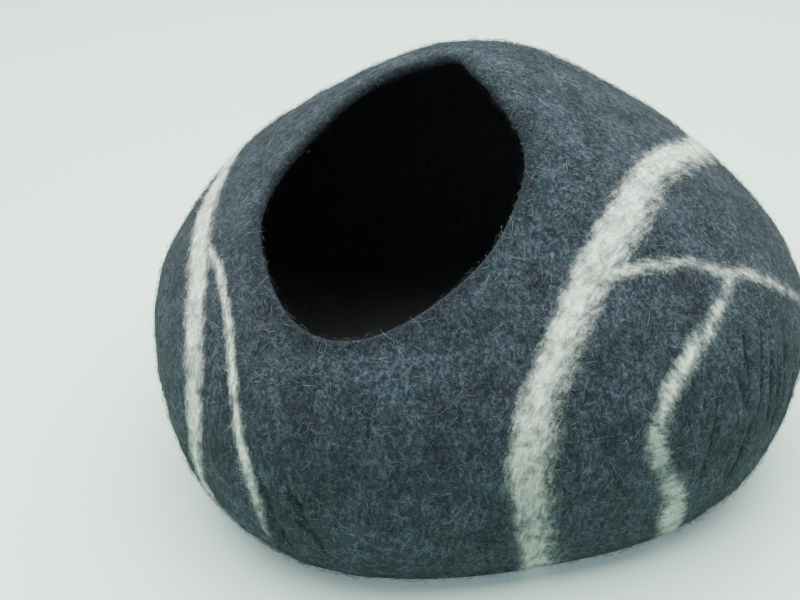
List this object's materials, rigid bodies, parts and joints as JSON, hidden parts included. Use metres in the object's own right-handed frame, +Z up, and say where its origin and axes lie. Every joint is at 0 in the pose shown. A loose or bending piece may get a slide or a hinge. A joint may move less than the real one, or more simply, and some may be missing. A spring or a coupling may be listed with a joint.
{
  "type": "felt cat cave",
  "caption": "Hollow pebble-shaped pet bed of thick grey wool felt with pale vein stripes, a black inside, a flat base and a round mouth at its upper front.",
  "frame": {"origin": "centre of the bounding box in plan, at the flat base", "axes": "+Z up; the mouth faces -Y and upwards; +X is on the right of somebody who looks into the mouth"},
  "size_m": [0.4815, 0.485, 0.3062],
  "materials": {
    "grey_felt": "matt wet-felted wool, fuzzy"
  },
  "bodies": {
    "root": {"felt_shell": "grey_felt"}
  },
  "joints": []
}
